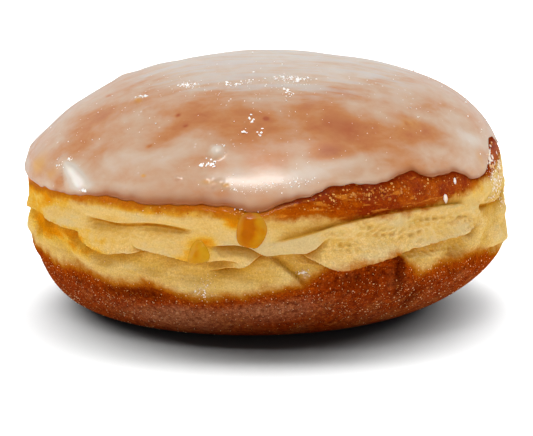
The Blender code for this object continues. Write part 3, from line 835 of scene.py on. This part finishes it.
def belt_colour(f, mottle, grain, pull):
    """The pale belt: painted light and shade by its relief and creases, yellow to orange where syrup has
    soaked in.
    """
    # painted light where the belt stands out and on its fine ridges, painted shade in its hollows, with
    # random mottling
    relief_light_and_mottle = f.attribute("relief") + (mottle - 0.5) * 1.6 + (grain - 0.5) * 0.6 + (pull - 0.5) * 2.6
    belt = f.mix(f.ramp(relief_light_and_mottle, -1.3, 0.0), BELT_SHADED_HOLLOW, BELT_BETWEEN)
    belt = f.mix(f.ramp(relief_light_and_mottle, -0.2, 1.2), belt, BELT_LIT_PROUD)
    belt = f.mix(f.attribute("ridge_highlight") * 0.5, belt, BELT_RIDGE_HIGHLIGHT)
    soaked = f.attribute("stain") + (mottle - 0.5) * 0.9 + (f.noise(2.0, 3.0) - 0.5) + (pull - 0.5) * 0.8
    belt = f.mix(f.ramp(soaked, 0.15, 0.8), belt, SOAKED_YELLOW)
    belt = f.mix(f.ramp(soaked, 0.55, 1.2), belt, SOAKED_ORANGE)
    # painted shade in the creases and along the dark lines under their lips
    crease = f.attribute("crease") + (grain - 0.5) * 0.3
    belt = f.mix(f.ramp(crease, 0.15, 0.90, 0.0, 0.9), belt, CREASE_SHADE_GOLD)
    crease_shade_line = f.attribute("crease_shade_line") + (grain - 0.5) * 0.4
    return f.mix(f.ramp(crease_shade_line, 0.25, 0.95, 0.0, 0.9), belt, CREASE_LINE_SHADE)


def upper_crust_colour(f, blotch, grain, gap):
    """The smooth upper crust: red-brown with lighter streaks round it, partly a painted highlight;
    darkest under the glaze, from soaked syrup and painted shade.
    """
    top = f.mix(f.ramp(blotch, 0.35, 0.7), TOP_DARK, TOP_RED)
    # lighter streaks, partly a painted highlight of the crust's gloss
    streak = f.noise(1.3, 3.0, stretch=(0.35, 0.35, 1.8))
    top = f.mix(f.ramp(streak, 0.56, 0.70, 0.0, 0.8), top, TOP_STREAK_AND_HIGHLIGHT)
    # darkest right under the glaze: soaked syrup and painted shade of the glaze's lip
    top = f.mix(f.ramp(gap + (grain - 0.5) * 0.8, 1.7, 0.3, 0.0, 0.9), top, TOP_SOAKED_AND_SHADED_UNDER_GLAZE)
    return f.mix(f.ramp(f.attribute("stain"), 0.15, 0.8), top, TOP_SYRUP)


def crust_colour(f, edge, blotch, belt, upper, top):
    """The brown crusts over the belt's colour, darker the farther a point lies inside their edge."""
    crust = f.mix(f.ramp(edge, -1.6, 0.4), belt, CRUST_GOLD)
    crust = f.mix(f.ramp(edge, -0.3, 1.3), crust, CRUST_BROWN)
    crust = f.mix(f.ramp(edge, 0.9, 3.6), crust, CRUST_DEEP)
    crust = f.mix(f.ramp(blotch, 0.42, 0.68, 0.0, 0.7) * f.ramp(edge, 1.5, 4.0), crust, CRUST_BLOTCH)
    burn_and_sheen = f.attribute("burn_and_sheen")
    crust = f.mix(f.ramp(burn_and_sheen, 0.2, 1.0, 0.0, 0.8) * f.ramp(edge, 0.0, 1.5), crust, CRUST_BURNT)
    crust = f.mix(upper * f.ramp(edge, -0.8, 0.9), crust, top)
    # dusty places where the burn value is low, partly a painted sheen
    dusty = burn_and_sheen + (blotch - 0.5) * 1.2
    crust = f.mix(f.ramp(dusty, 0.1, -1.2, 0.0, 0.8) * f.ramp(edge, 1.0, 3.0), crust, CRUST_DUST_AND_SHEEN)
    # pale specks, partly flour and bubbles and partly painted glints
    specks = f.ramp(f.cells(0.8), 0.10, 0.24, 1.0, 0.0) * f.ramp(edge, 0.2, 1.4) * f.ramp(blotch, 0.30, 0.60)
    return f.mix(specks * 0.45, crust, CRUST_SPECK_AND_GLINT)


def dough_finish():
    """Fried dough: a pale mottled belt, orange with painted shade in its creases, between brown crusts."""
    f = Finish("fried_dough")
    upper, gap = f.attribute("upper"), f.attribute("gap")
    mottle, blotch = f.noise(6.0, 4.0), f.noise(4.5, 4.0, 0.6)
    grain, fuzz = f.noise(0.9, 3.0), f.noise(0.28, 2.0, 0.7)
    pull = f.noise(1.5, 4.0, 0.6, (0.35, 0.35, 1.7), 0.5)
    edge = f.attribute("crust") + (f.noise(2.6, 4.0) - 0.5) * 2.6 + (grain - 0.5) * 1.2
    belt = belt_colour(f, mottle, grain, pull)
    top = upper_crust_colour(f, blotch, grain, gap)
    colour = crust_colour(f, edge, blotch, belt, upper, top)
    rough = f.ramp(edge, -0.5, 1.5, 0.36, 1.0) * (1.0 - upper * 0.45)
    coarse = f.ramp(edge, 0.0, 2.0) * (1.0 - upper * 0.7)
    colour = f.mix(f.ramp(grain, 0.46, 0.70) * coarse, colour, GRAIN_TIP, "MULTIPLY")
    colour = f.mix(f.ramp(grain, 0.50, 0.28) * coarse, colour, GRAIN_GAP, "MULTIPLY")
    colour = f.mix(f.ramp(fuzz, 0.50, 0.72) * rough, colour, FUZZ_TIP, "MULTIPLY")
    colour = f.mix(f.ramp(fuzz, 0.50, 0.28) * rough, colour, FUZZ_GAP, "MULTIPLY")
    wet = upper * f.ramp(edge, -0.5, 1.0) * f.ramp(gap, 0.4, 1.8)
    blister = f.noise(0.55, 2.0) * 0.5 + f.noise(1.8, 2.0) + fuzz * (0.3 + rough * 0.5) + pull * 1.6
    f.set(Base_Color=colour, Roughness=0.62 - wet * 0.2, Coat_Weight=wet * 0.15, Coat_Roughness=0.08,
          Subsurface_Weight=0.25, Subsurface_Scale=1.2 * MM, Subsurface_Radius=(1.0, 0.45, 0.18),
          Specular_IOR_Level=0.0, Normal=f.bump(blister, 0.10, 0.8))
    return f.material


def glaze_finish():
    """Sugar glaze: milky where it is thick, clear over brown crust where it is thin.

    Its thickness is the painted 'milk', clouded by noises of three sizes, one drawn out in streaks.
    """
    f = Finish("sugar_glaze")
    milk, tint, honey = (f.attribute(name) for name in ("milk", "tint", "honey"))
    dimpled, top = f.attribute("dimpled"), f.attribute("top")
    cloud = f.noise(7.0, 4.0, 0.55, (0.8, 0.8, 1.3), 0.4)
    wisp = f.noise(2.2, 3.0, 0.55, (0.8, 0.8, 1.5), 0.4)
    streak = f.noise(2.6, 4.0, 0.55, (0.22, 1.0, 1.0), 0.3)
    thick = milk + (cloud - 0.5) * 1.05 + (wisp - 0.5) * 0.32 + (streak - 0.5) * (0.25 + top * 0.9)
    colour = f.mix(f.ramp(thick, -0.2, 0.35), GLAZE_THINNEST, GLAZE_THIN)
    colour = f.mix(f.ramp(thick, 0.20, 0.75), colour, GLAZE_HALF)
    colour = f.mix(f.ramp(thick, 0.60, 1.25), colour, GLAZE_MILKY)
    colour = f.mix(f.ramp(thick, 1.25, 2.0), colour, GLAZE_WHITE)
    colour = f.mix(top * f.ramp(streak, 0.46, 0.66, 0.0, 0.5), colour, GLAZE_GREY)
    colour = f.mix(f.ramp(tint + (wisp - 0.5) * 0.3, 0.15, 1.0, 0.0, 0.9), colour, GLAZE_LIP)
    colour = f.mix(f.ramp(honey + (wisp - 0.5) * 0.4, 0.15, 1.0, 0.0, 0.9), colour, GLAZE_HONEY)
    pits = f.ramp(f.cells(2.4), 0.05, 0.12, 1.0, 0.0) * f.ramp(cloud, 0.45, 0.65)
    colour = f.mix(pits * 0.6, colour, GLAZE_PIT)
    ripple = f.noise(1.6, 2.0, 0.5) * 0.4 + f.noise(6.0, 2.0) + pits * 0.3 + dimpled * f.noise(0.5, 2.0) * 0.6
    f.set(Base_Color=colour, Roughness=0.35, Coat_Weight=1.0, Coat_Roughness=0.23, Coat_IOR=1.5,
          Subsurface_Weight=0.35, Subsurface_Scale=1.5 * MM, Subsurface_Radius=(1.0, 0.5, 0.3),
          Specular_IOR_Level=0.0, Normal=f.bump(ripple, 0.12, 0.5))
    return f.material


def syrup_finish():
    """Clear amber syrup: dark orange in a drop's core, yellow at its edge and on its painted lighter right
    side.
    """
    f = Finish("amber_syrup")
    thick = f.attribute("thick") + (f.noise(1.2, 1.0) - 0.5) * 0.5
    colour = f.mix(f.ramp(thick, 0.0, 0.45), SYRUP_YELLOW, SYRUP_AMBER)
    colour = f.mix(f.ramp(thick, 0.30, 0.85), colour, SYRUP_CORE)
    f.set(Base_Color=colour, Roughness=0.08, IOR=1.4, Transmission_Weight=0.5, Specular_IOR_Level=0.3)
    return f.material


def wet_crust_finish():
    """Little bubbles of syrup and fat on the upper crust: orange-brown and glossy."""
    f = Finish("wet_crust")
    colour = f.mix(f.ramp(f.noise(3.0, 2.0), 0.35, 0.65), WET_BROWN, WET_GOLD)
    f.set(Base_Color=colour, Roughness=0.5, Coat_Weight=1.0, Coat_Roughness=0.10, Specular_IOR_Level=0.0)
    return f.material


def sugar_finish(name, colour, roughness, painted_glow=0.0):
    """Dry sugar, flour or crumb, a little darker in patches, with a painted glow of the strength given."""
    f = Finish(name)
    tint = f.mix(f.ramp(f.noise(0.8, 2.0), 0.4, 0.6), colour, tuple(0.88 * c for c in colour))
    f.set(Base_Color=tint, Roughness=roughness, Subsurface_Weight=0.5, Subsurface_Scale=0.3 * MM,
          Subsurface_Radius=(1.0, 0.9, 0.8), Emission_Color=tint, Emission_Strength=painted_glow,
          Normal=f.bump(f.noise(0.25, 2.0), 0.05))
    return f.material


def dough_body(material):
    """The whole dough: foot, brown bowl, folded belt, upper crust, and its top under the glaze."""
    angle = column_angles()[None, :]
    rim = level_at(angle, glaze_edge(angle))
    bowl = np.linspace(0, BELT_START, BOWL_ROWS, endpoint=False)
    belt = np.linspace(BELT_START, 1, BELT_ROWS, endpoint=False)
    hidden = np.linspace(0, 1, HIDDEN_ROWS, endpoint=False)
    level = np.concatenate([np.concatenate([bowl, belt])[:, None] * rim, rim + hidden[:, None] * (2 - rim)])
    angle = np.broadcast_to(angle, level.shape)
    point, height, forms = dough(angle, level)
    over_low = round_bun(LOWER_CRUST, angle) - height
    under_high = height - round_bun(UPPER_CRUST, angle)
    values = {
        **forms, "crust": np.maximum(over_low, under_high), "upper": (under_high > over_low) * 1.0,
        "stain": spread(STAINS, angle, height), "burn_and_sheen": spread(BURNS, angle, height),
        # the distance under the glaze's edge sets the painted shade and soaked syrup there
        "gap": glaze_edge(angle) - height + LEFT_OF_DRIP * ease((DRIP_ANGLE - angle) / DRIP_SPAN),
    }
    top = np.array([0, 0, HEIGHT - GLAZE_THICKNESS + BEDDING])
    return add_body("dough_skin", point, np.zeros(3), top, material, values)


def glaze_coat(material):
    """The glaze: a thin shell whose inner face lies in the dough, with a rolled lower edge."""
    angle = column_angles()[None, :]
    rim_height = glaze_edge(angle)
    rim = level_at(angle, rim_height)
    outer = rim + np.linspace(0, 1, GLAZE_ROWS, endpoint=False)[:, None] ** GLAZE_CROWDING * (2 - rim)
    inner = rim + np.linspace(0, 1, INNER_ROWS, endpoint=False)[::-1, None] * (2 - rim)
    thick = round_bun(LIP_THICKNESS, angle)
    rolled = thick * ROLLED_EDGE
    turn = np.linspace(np.pi / 2, 0, LIP_STEPS + 1)[:-1, None]
    drop = np.linalg.norm(bun(angle, rim + 0.01) - bun(angle, rim - 0.01), axis=-1) / 0.02
    lip = rim - np.sin(turn) * LIP_OVERHANG * thick / drop
    level = np.concatenate([inner, lip, outer])
    under = glaze_thickness(angle, bun(angle, inner)[..., 2] - rim_height)
    angle = np.broadcast_to(angle, level.shape)
    point = bun(angle, level)
    height = point[..., 2]
    edge = np.maximum(height - rim_height, 0)
    milk = MILK_LEVEL + MILK_SWING * np.tanh(spread(MILK_PATCHES, angle, height) / MILK_SWING)
    milk += TOP_MILK * ease((height - TOP_MILK_FROM) / TOP_MILK_SPAN) + spread(MILK_SPOTS, angle, height)
    reach = round_bun(LIP_TINT, angle)
    tint = np.minimum(reach, 1.0) * np.exp(-edge / reach)
    relief = rolled * np.exp(-edge / ROLLED_EDGE_SPAN) + knobs(BLISTERS, point)
    swellings = swirl(point, SWELLINGS, SWELLING_LENGTH, SWELLING_SEED)
    relief += SWELLING * swellings * ease(edge / SWELLING_SPAN)
    relief += MILK_RELIEF * np.clip(milk - MILK_LEVEL, -0.5, 0.8) + spread(GLAZE_RIDGES, angle, height)
    lip_depth = (1 - np.cos(turn)) * (thick + rolled)
    sunk = np.concatenate([under, lip_depth, np.zeros(outer.shape)])
    shown = np.concatenate([np.zeros(inner.shape), np.ones(lip.shape), np.ones(outer.shape)])
    point = point + outward(angle, level) * (relief * shown - sunk)[..., None]
    top = np.array([0, 0, HEIGHT])
    under_top = top - [0, 0, GLAZE_THICKNESS]
    values = {
        "milk": milk, "tint": tint, "honey": spread(HONEY_PATCHES, angle, height),
        "dimpled": spread(DIMPLED, angle, height),
        "top": ease((height - TOP_STREAKS_FROM) / TOP_STREAKS_SPAN),
    }
    return add_body("glaze_coat", point, under_top, top, material, values)


def syrup_drops(material):
    """Amber drops: each a dome over an elliptical patch of the dough, closed by a sunk underside.

    The dome's height is a power of one less the squared distance from the middle. The syrup is
    coloured thickest in a core that is a bell, higher than wide and a little left of the middle, which
    paints the drop's right side lighter, as lit through from the upper left.
    """
    turn = np.linspace(-np.pi, np.pi, DROP_SPOKES, endpoint=False)[None, :]
    out = np.linspace(0, 1, DROP_RINGS + 1)[1:, None]
    back = out[::-1]
    share = np.concatenate([out[:-1], back])
    dome = (1 - back ** 2) ** DROP_ROUNDNESS - DROP_EDGE_SUNK * back
    above = np.concatenate([np.full_like(out[:-1], -DROP_SUNK), dome])
    vertices, faces, thick = [], [], []
    for drop in SYRUP_DROPS:
        wide = drop.half_width * (1 + DROP_SPREAD * np.cos(turn) + DROP_WAVER * np.sin(3 * turn + drop.angle))
        angle = drop.angle + np.degrees(share * wide * np.sin(turn) / (WIDTH / 2))
        height = drop.height - share * drop.half_height * np.cos(turn)
        level = level_at(angle, height)
        raised = (above * drop.amount)[..., None]
        rings = dough_point(angle, level) + outward(angle, level) * raised
        faces.append(ring_faces(*rings.shape[:2]) + sum(map(len, vertices)))
        vertices.append(np.concatenate([rings.reshape(-1, 3), [rings[0].mean(0), rings[-1].mean(0)]]))
        # the dark core sits left of the middle, which paints the drop's right side lighter
        across = (share * np.sin(turn) + CORE_LEFT) / CORE_WIDTH
        along = (share * np.cos(turn) + CORE_LOW) / CORE_HEIGHT
        depth = drop.amount ** 4 * (CLEAR_EDGE + np.exp(-across ** 2 - along ** 2))
        thick.append(np.concatenate([depth.ravel(), [0.0, depth[-1].mean()]]))
    parts = np.concatenate(vertices), np.concatenate(faces), material, {"thick": np.concatenate(thick)}
    return add_mesh("syrup_drops", *parts)


def lumps(name, material, clusters, carrier, seed, sink=0.25, flat=0.4, uneven=0.4):
    """Small irregular lumps scattered in clusters over a surface, in one piece.

    Each lump is an eight-sided block with its edges split once, pushed in and out at its corners
    and stretched, flattened along the surface's normal, and sits partly sunk in what carries it.
    Small lumps are the most frequent: the size grows with the square of an even draw.
    """
    draw = np.random.default_rng(seed)
    angle, height, size = [], [], []
    for around, level, count, across, up, low, high in clusters:
        angle.append(around + draw.normal(size=count) * across)
        height.append(level + draw.normal(size=count) * up)
        size.append(low * (high / low) ** draw.random(count) ** 2)
    angle, height, size = (np.concatenate(part) for part in (angle, height, size))
    keep = (height > LUMPS_OVER_FLOOR) & (height < HEIGHT - LUMPS_UNDER_TOP)
    angle, height, size = angle[keep], height[keep], size[keep]
    place = level_at(angle, height)
    centre = carrier(angle, place) + outward(angle, place) * (size * (0.5 - sink) * (1 - flat))[:, None]
    shape = LUMP_CORNERS[None] * draw.uniform(1 - uneven, 1 + uneven / 2, (len(size), len(LUMP_CORNERS), 1))
    shape = shape * draw.uniform(*LUMP_STRETCH, (len(size), 1, 3))
    way = outward(angle, place)[:, None]
    shape = shape - flat * (shape * way).sum(-1, keepdims=True) * way
    vertices = centre[:, None] + shape * (size / 2)[:, None, None]
    faces = LUMP_FACES[None] + (np.arange(len(size)) * len(LUMP_CORNERS))[:, None, None]
    return add_mesh(name, vertices.reshape(-1, 3), faces.reshape(-1, 3), material)


def stage_floor():
    """The plain surface that the doughnut stands on: grey, and lit so brightly that it shows white.

    Being grey, it throws little light back on the underside of the doughnut.
    """
    f = Finish("studio_floor")
    f.set(Base_Color=FLOOR_GREY, Roughness=0.9, Specular_IOR_Level=0.1)
    corners = FLOOR_REACH * np.array([[-1, -1, 0], [1, -1, 0], [1, 1, 0], [-1, 1, 0]])
    return add_mesh("studio_floor", corners, np.array([[0, 1, 2, 3]]), f.material)


def aim(thing, spot):
    """Turn a camera or a lamp to look at a spot."""
    away = thing.location - spot
    thing.rotation_euler = away.to_track_quat("Z", "Y").to_euler()


def panel(name, elevation, azimuth, distance, size, radiance):
    """A rectangular light, seen from the doughnut in a direction, as bright as 'radiance' whites."""
    lamp = bpy.data.lights.new(name, "AREA")
    lamp.shape, lamp.size, lamp.size_y = "RECTANGLE", *size
    lamp.energy = radiance * np.pi * size[0] * size[1]
    light = bpy.data.objects.new(name, lamp)
    high, turn = np.radians(elevation), np.radians(azimuth)
    way = np.array([np.cos(high) * np.sin(turn), -np.cos(high) * np.cos(turn), np.sin(high)])
    light.location = Vector(way * distance)
    aim(light, Vector((0, 0, LIGHTS_AIM)))
    bpy.context.scene.collection.objects.link(light)
    return light


def studio(floor):
    """Camera, backdrop and four lights.

    A softbox stands high in front, a wide panel hangs overhead, a weak fill low in front isn't
    seen in the gloss, and a large light behind shines straight down, on the floor alone.
    """
    elevation = np.radians(CAMERA_ELEVATION)
    spot = Vector((0, 0, CAMERA_AIM_HEIGHT * MM)) + Vector(AXIS)
    camera = bpy.data.objects.new("camera", bpy.data.cameras.new("camera"))
    camera.data.lens = LENS
    camera.location = spot + Vector((0, -np.cos(elevation), np.sin(elevation))) * CAMERA_DISTANCE * MM
    aim(camera, spot)
    bpy.context.scene.collection.objects.link(camera)
    bpy.context.scene.camera = camera
    lights = {light[0]: panel(*light) for light in PANELS}
    lights["fill"].visible_glossy = False
    floor.visible_glossy = False
    floor_only = bpy.data.collections.new("floor_only")
    floor_only.objects.link(floor)
    lights["floor_light"].light_linking.receiver_collection = floor_only
    lights["floor_light"].rotation_euler = (0.0, 0.0, 0.0)
    f = Finish("pale_studio", "worlds", "Background")
    way = f.node("ShaderNodeTexCoord", output="Generated")
    front = f.node("ShaderNodeVectorMath", {"operation": "DOT_PRODUCT"}, {0: way, 1: DARK_SIDE}, "Value")
    strength = f.ramp(front, DARKENS_FROM, DARKENS_TO, STUDIO_BRIGHT, STUDIO_DARK)
    f.set(Strength=strength, Color=(1.0, 1.0, 1.0))
    bpy.context.scene.world = f.material
    bpy.context.scene.view_settings.view_transform = "Standard"


skin = dough_body(dough_finish())
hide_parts("dough")
coat = glaze_coat(glaze_finish())
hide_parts("glaze")
syrup = syrup_drops(syrup_finish())
# white and cream sugar get a painted glow
white = sugar_finish("white_sugar", SUGAR_WHITE, roughness=0.4, painted_glow=0.28)
crumb = sugar_finish("fried_crumb", CRUMB_BROWN, roughness=0.6)
cream = sugar_finish("cream_sugar", SUGAR_CREAM, roughness=0.4, painted_glow=0.12)
flakes = lumps("sugar_flakes", white, SUGAR_FLAKES, bun, seed=21)
# crystals along the glaze's lip; those on the amber drop's top stand in for its glints, a painted highlight
crystals = lumps("lip_crystals", white, LIP_CRYSTALS, bun, seed=22, sink=0.4)
grains = lumps("crust_grains", crumb, CRUST_GRAINS, dough_point, seed=23, sink=0.35)
chips = lumps("pale_chips", cream, PALE_CHIPS, dough_point, seed=24, sink=0.3, flat=0.6, uneven=0.15)
bubbles = lumps("wet_bubbles", wet_crust_finish(), WET_BUBBLES, dough_point, seed=25, sink=0.45, flat=0.3)
for piece in (skin, coat, syrup, flakes, crystals, grains, chips, bubbles):
    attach(piece, "root")
floor = stage_floor()
studio(floor)
